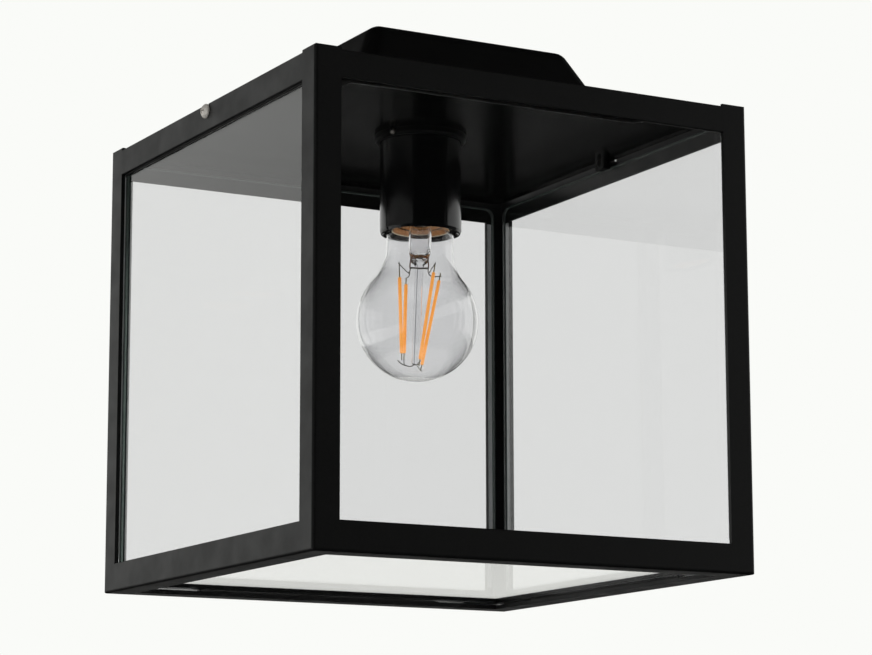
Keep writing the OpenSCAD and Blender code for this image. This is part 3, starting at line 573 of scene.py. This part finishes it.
stem_rows = [(8, 0, 0), (8.1, 1.2, 1.2), (8.7, 1.9, 1.9), (9.6, 2.1, 2.1), (12, 2, 2),
             (55.5, 2, 2), (57.2, 2.3, 2.1), (58.6, 4.0, 2.1), (59.4, 4.6, 2.2),
             (61.6, 4.7, 2.2), (63, 5.1, 3.2), (64.6, 5.5, 5.0), (66, 5.5, 5.5),
             (76, 5.6, 5.6), (79, 6.4, 6.4), (81.9, 8.8, 8.8), (82, 8.0, 8.0),
             (79.4, 5.7, 5.7), (76.5, 4.7, 4.7), (66, 4.6, 4.6), (64.2, 4.4, 3.4),
             (63, 3.6, 1.6), (62.4, 0, 0)]
place = TILT @ Matrix.Translation((0, 0, lamp_foot)) @ Matrix.Rotation(VIEW_TURN, 4, "Z")
stem = turned("stem_tube", stem_rows, pinched_glass, place, 64)
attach(stem, "lamp")
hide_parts("bulb_stem")
let_light_by(stem)
print("stem", round(stem.dimensions.z / MM, 1), "mm tall")

# %% [markdown]
# ## Light filaments
# Each filament is a thin strip of light chips in a skin of amber phosphor silicone, with a
# metal pin crimped in at both ends. The skin is turned with round shoulders. A weak amber
# glow is added to the plain colour as painted light, so the unlit filaments read bright.
# The chips sit 1.3 mm apart and show as a faint row of paler spots. The panes don't mirror
# the bulb, so they don't mirror what hangs in it either.

# %% Light filaments
CHIP_PITCH, PIN_LENGTH, PIN_THICK = 1.3, 3.2, 0.6
# The emission is painted light: a weak amber glow from filaments that are not lit.
phosphor, tree, surface, where = grained(
    "phosphor_silicone_amber_painted_glow", "#f09a3e", "#f8b05c", 1.5, (0.3, 0.42), 0.03, slow=4, IOR=1.43,
    **{"Emission Color": colour("#f59a3c"), "Emission Strength": 0.5})
amber = surface.inputs["Base Color"].links[0].from_socket
along = add(tree, "ShaderNodeSeparateXYZ", {"Vector": where})
beat = add(tree, "ShaderNodeMath", {0: along.outputs[2]}, {1: 2 * math.pi / (CHIP_PITCH * MM)},
           operation="MULTIPLY")
wave = add(tree, "ShaderNodeMath", {0: beat.outputs[0]}, operation="SINE")
chips = add(tree, "ShaderNodeMapRange", {"Value": wave.outputs[0]},
            {"From Min": 0.2, "From Max": 1.0, "To Max": 0.5})
spotted = add(tree, "ShaderNodeMix", {"Factor": chips.outputs[0], MIX_A: amber},
              {MIX_B: colour("#ffc988")}, data_type="RGBA")
tree.links.new(spotted.outputs[MIX_OUT], surface.inputs["Base Color"])
pin_steel, *_ = grained("pin_steel_plated", "#b7aa86", "#d6ccaa", 0.6, (0.25, 0.35), 0.01,
                        slow=2, Metallic=1.0)
filament_ends = [((-9.3, -4.2, 50.5), (-7.0, -2.5, 13.2)), ((-6.3, 8.2, 49.7), (-5.9, 3.0, 14.2)),
                 ((7.2, -7.1, 52.7), (2.0, -3.4, 10.4)), ((10.0, 2.0, 50.9), (2.9, 3.2, 8.8))]
filaments, pin_tops, pin_feet = [], [], []
for number, (top, foot) in enumerate(filament_ends, 1):
    high, low = in_lamp(*top), in_lamp(*foot)
    axis = (high - low).normalized()
    half = (high - low).length / 2 / MM
    spin = axis.to_track_quat("Z", "Y").to_matrix().to_4x4()
    rows = [(-half, 0, 0), (-half, 0.5, 0.45), (-half + 0.2, 0.78, 0.7), (-half + 0.6, 0.9, 0.82),
            (half - 0.6, 0.9, 0.82), (half - 0.2, 0.78, 0.7), (half, 0.5, 0.45), (half, 0, 0)]
    place = Matrix.Translation((high + low) / 2) @ spin
    made = turned("filament_%d" % number, rows, phosphor, place, 20)
    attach(made, "lamp")
    made.visible_glossy = False
    filaments.append(made)
    for tip, way, ends in ((high, 1, pin_tops), (low, -1, pin_feet)):
        ends.append(tip + way * axis * PIN_LENGTH * MM)
        route = [tip - way * axis * 0.6 * MM, tip + way * axis * 1.5 * MM, ends[-1]]
        pin = bent_wire("pin_%d_%s" % (number, "top" if way > 0 else "foot"), route,
                        PIN_THICK, pin_steel)
        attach(pin, "lamp")
        pin.visible_glossy = False
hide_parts("bulb_filaments")
print(len(filaments), "filaments, the first", round(filaments[0].dimensions.z / MM, 1), "mm long")

# %% [markdown]
# ## Leads and holding wires
# The two leads leave the pinch as sealing wire: an iron wire with a red-brown copper skin
# that seals into glass. Nickel wires go on from them to the pins, and one bracket crosses
# the rod. At the rod's foot the wires gather into its melted tip.

# %% Leads
SEALING_THICK, NICKEL_THICK, BRACKET_THICK = 0.6, 0.5, 0.9
sealing_wire, *_ = grained("sealing_wire_copper_clad", "#6e3a26", "#9a5a3a", 0.7, (0.3, 0.42),
                           0.01, slow=2, Metallic=1.0)
nickel_wire, *_ = grained("nickel_wire_drawn", "#8f8c84", "#b5b2a9", 0.7, (0.26, 0.36), 0.01,
                          slow=2, Metallic=1.0)
routes = {
    "lead_left": [(-2.4, 0, 62.6), (-3.6, 0, 61.2), (-4.4, 0, 59), (-4.5, 0, 56.4),
                  (-4.4, 0, 55.4)],
    "lead_right": [(2.4, 0, 62.6), (3.6, 0, 61.2), (4.4, 0, 59), (4.5, 0, 56.4), (4.4, 0, 55.4)],
    "bracket": [(-4.4, -0.2, 55.9), (-2.8, -1.6, 55.6), (0, -2.3, 55.3), (2.8, -1.6, 55.6),
                (4.4, -0.2, 55.9)],
    "arm_left": [(-4.4, 0, 56.0), (-4.5, -0.1, 54.0), (-5.3, -0.9, 53.4), (-7.4, -2.6, 54.9),
                 (-10.1, -4.6, 57.3)],
    "tip_left": [pin_tops[0], (-9.6, -4.5, 55.4), (-9.8, -4.6, 57.8)],
    "arm_left_back": [(-4.4, 0, 55.6), (-4.5, 0.8, 53.8), (-5.2, 5.2, 52.9), pin_tops[1]],
    "arm_right": [(4.4, 0, 56.0), (4.5, -0.4, 54.0), (5.0, -2.2, 53.4), (6.2, -5.2, 54.9),
                  (7.9, -7.6, 57.2)],
    "tip_right": [pin_tops[2], (7.7, -7.4, 56.6), (7.8, -7.5, 57.6)],
    "arm_right_back": [(4.4, 0, 55.6), (4.7, 0.2, 53.6), (5.8, 0.6, 52.6), (8.4, 1.6, 52.6),
                       (11.0, 2.2, 52.9)],
    "foot_left": [(-8.8, -2.6, 9.8), (-7.2, -2.4, 8.3), (-4.6, -1.2, 7.4), (-1.8, -0.3, 7.5),
                  (-0.5, 0, 8.8)],
    "foot_left_back": [pin_feet[1], (-5.6, 1.6, 8.6), (-4.2, -0.6, 7.5)],
    "foot_right": [(0.3, 0, 8.8), (0.6, -1.2, 8.2), (1.3, -2.4, 8.8), (2.2, -3.8, 9.6)],
    "foot_right_back": [(0.4, 0.2, 8.8), (1.0, 1.2, 7.6), (2.0, 2.4, 6.6), (3.2, 3.8, 5.7)],
}
special = {"lead_left": (sealing_wire, SEALING_THICK),
           "lead_right": (sealing_wire, SEALING_THICK),
           "bracket": (nickel_wire, BRACKET_THICK)}
for name, route in routes.items():
    metal, thick = special.get(name, (nickel_wire, NICKEL_THICK))
    points = [p if isinstance(p, Vector) else in_lamp(*p) for p in route]
    made = bent_wire(name, points, thick, metal)
    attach(made, "lamp")
    made.visible_glossy = False
    if name == "lead_left":
        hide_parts("bulb_supports")
print(len(routes), "wires")

# %% [markdown]
# ## Basing cement
# The bulb's neck is held in its cap by a resin cement, which cures golden brown. Below the
# cap's rim it lies as a rough skin on the outside of the neck's foot, so it shows through
# the glass as a brown disc, with a pale ring round its edge.

# %% Basing cement
cement, *_ = grained("basing_cement_cured", "#9a6430", "#c98f58", 0.9, (0.45, 0.65), 0.12,
                     slow=4, IOR=1.55)
cement_pale, *_ = grained("basing_cement_pale_edge", "#c4b090", "#e8dcc6", 0.9, (0.4, 0.6), 0.06,
                          slow=4, IOR=1.55)
skin_rows = [(-0.1, 11.4), (-0.1, 12.6), (-0.8, 12.9), (-1.7, 13.5), (-2.1, 13.72),
             (-1.7, 13.24), (-0.9, 12.3), (-0.1, 11.4)]
edge_rows = [(-2.05, 13.7), (-2.0, 13.95), (-2.3, 14.15), (-2.45, 14.14), (-2.05, 13.7)]
throat_rows = [(0.1, 5.95), (0.3, 5.95), (0.5, 10.2), (0.1, 10.2), (0.0, 8.0), (0.1, 5.95)]
for name, rows, material in (
        ("cement_skin", skin_rows, cement), ("cement_edge", edge_rows, cement_pale),
        ("cement_throat", throat_rows, cement)):
    place = Matrix.Translation((0, 0, cap_rim))
    piece = turned(name, round_rows(rows), material, place, 72)
    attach(piece, "lamp")
print("cement round the cap's rim at", round(cap_rim / MM, 1), "mm")

# %% [markdown]
# ## Sealant bead
# Behind the front rail a bead of black sealant holds the pane. It shows as a dark line just
# below the rail, swells to a fillet in the near corner, and ends past the middle of the
# rail, where the hand that drew it stopped. The bead is one closed strip: at each step
# along the rail its section grows or shrinks, and a slow wave keeps it from looking ruled.

# %% Sealant bead
sealant, *_ = grained(
    "sealant_black_tooled", "#070707", "#0e0e0e", 1.2, (0.3, 0.42), 0.03, IOR=1.43)
BEAD_START, BEAD_END, CORNER, FILLET, LINE = -101.8, 57, 102, 4.0, 1.1
rail_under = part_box("top_rail_front")[0][2] / MM
pane_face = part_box("pane_front")[0][1] / MM


def bead(name, steps, drop, place):
    """A strip along X behind a rail: drop(x) is how far below the rail it reaches, in mm."""
    points, faces = [], []
    for x in steps:
        d = drop(x)
        section = [(-1.15, 0.02), (-1.1, -0.5 * d), (-0.75, -0.9 * d), (-0.25, -d), (-0.02, -d),
                   (-0.02, 0.4), (-0.66, 0.4), (-0.66, 0.02)]
        points += [(x * MM, (pane_face + y) * MM, (rail_under + z) * MM) for y, z in section]
    n = len(section)
    for base in range(0, n * (len(steps) - 1), n):
        for k in range(n):
            j = (k + 1) % n
            faces.append((base + k, base + j, base + n + j, base + n + k))
    faces += [tuple(range(n - 1, -1, -1)), tuple(n * (len(steps) - 1) + k for k in range(n))]
    made = new_piece(name, points, faces, sealant, place, smooth=True)
    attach(made, "cage")


def front_drop(x):
    """A fillet in the near corner, then a line of even depth that thins out at its end."""
    fillet = max(0.0, FILLET - (x + CORNER) * 0.5)
    end = min(1.0, max(0.15, (BEAD_END - x) / 4))
    return max(fillet, LINE * end + 0.06 * math.sin(x / 5) + 0.04 * math.sin(x / 2.3))


bead("sealant_front", [BEAD_START + 1.2 * k for k in range(134)], front_drop, Matrix())
bead("sealant_left", [BEAD_START + 2.4 * k for k in range(86)],
     lambda x: 0.5 + 0.05 * math.sin(x / 6), Matrix.Rotation(math.radians(-90), 4, "Z"))
print("bead from the near corner to", BEAD_END, "mm right of the middle")

# %% [markdown]
# ## Light and floor
# The room is a plain white studio with a pale floor two metres below. A soft light on the
# left lifts the left face, and is neither mirrored nor seen through glass. Black flags stand
# out of sight: one in front of the lantern, one overhead and one just above the floor, so
# black faces mirror nothing bright. A grey card on the left dims the holder's sheen. Only
# mirrored rays see the flags and the card, so they change no diffuse light. All places and
# sizes here are in metres.

# %% Light and floor
FLOOR_Z, LOW_FLAG_Z = -2.0, -1.99
world = bpy.data.worlds.new("studio")
bpy.context.scene.world = world
world.use_nodes = True
background = world.node_tree.nodes["Background"]
background.inputs["Color"].default_value = colour("#fafbf8")
background.inputs["Strength"].default_value = 1.0
bpy.context.scene.view_settings.view_transform = "Standard"


def soft_light(name, place, aim, width, watts):
    """A square light that faces a point."""
    lamp = bpy.data.lights.new(name, "AREA")
    lamp.shape, lamp.size, lamp.energy = "SQUARE", width, watts
    made = bpy.data.objects.new(name, lamp)
    made.location = place
    made.rotation_mode = "QUATERNION"
    made.rotation_quaternion = (Vector(aim) - Vector(place)).to_track_quat("-Z", "Y")
    bpy.context.scene.collection.objects.link(made)
    return made


lamp = soft_light("soft_light_left", (-1.9, 0.1, 0.3), (0, 0, -0.14), 1.6, 4)
lamp.visible_glossy = lamp.visible_transmission = False


def flat_card(name, corners, material):
    """A flat sheet that belongs to the studio and not to the lantern."""
    made = new_piece(name, corners, [(0, 1, 2, 3)], material)
    return made


def level(x0, x1, y0, y1, z):
    """The corners of a level sheet."""
    return [(x0, y0, z), (x1, y0, z), (x1, y1, z), (x0, y1, z)]


def upright(x0, y0, x1, y1, z0, z1):
    """The corners of an upright sheet over a line on the floor."""
    return [(x0, y0, z0), (x1, y1, z0), (x1, y1, z1), (x0, y0, z1)]


pale_floor, *_ = grained("floor_matt_pale", "#f0f0ee", "#f4f4f2", 3, (0.85, 0.95), 0.05)
flat_card("floor", level(-30, 30, -30, 30, FLOOR_Z), pale_floor)
black_cloth, *_ = grained("flag_black_cloth", "#040404", "#060606", 2, (0.9, 1.0), 0.05)
grey_cloth, *_ = grained("card_grey_cloth", "#8c8c8c", "#929292", 2, (0.9, 1.0), 0.05)
cards = [flat_card("flag_front", upright(-2.3, -1.8, 1.8, -1.8, FLOOR_Z, 2.0), black_cloth),
         flat_card("flag_low", level(-3, 8, -4, 12.8, LOW_FLAG_Z), black_cloth),
         flat_card("flag_over", level(-4, 4, -1.8, 4.5, 2.0), black_cloth),
         flat_card("card_left", upright(-2.5, -1.9, -2.5, 2.6, -0.8, 1.8), grey_cloth)]
for card in cards:
    card.visible_camera = card.visible_transmission = False
    card.visible_diffuse = card.visible_shadow = False
print("a soft light, a floor and", len(cards), "cards")
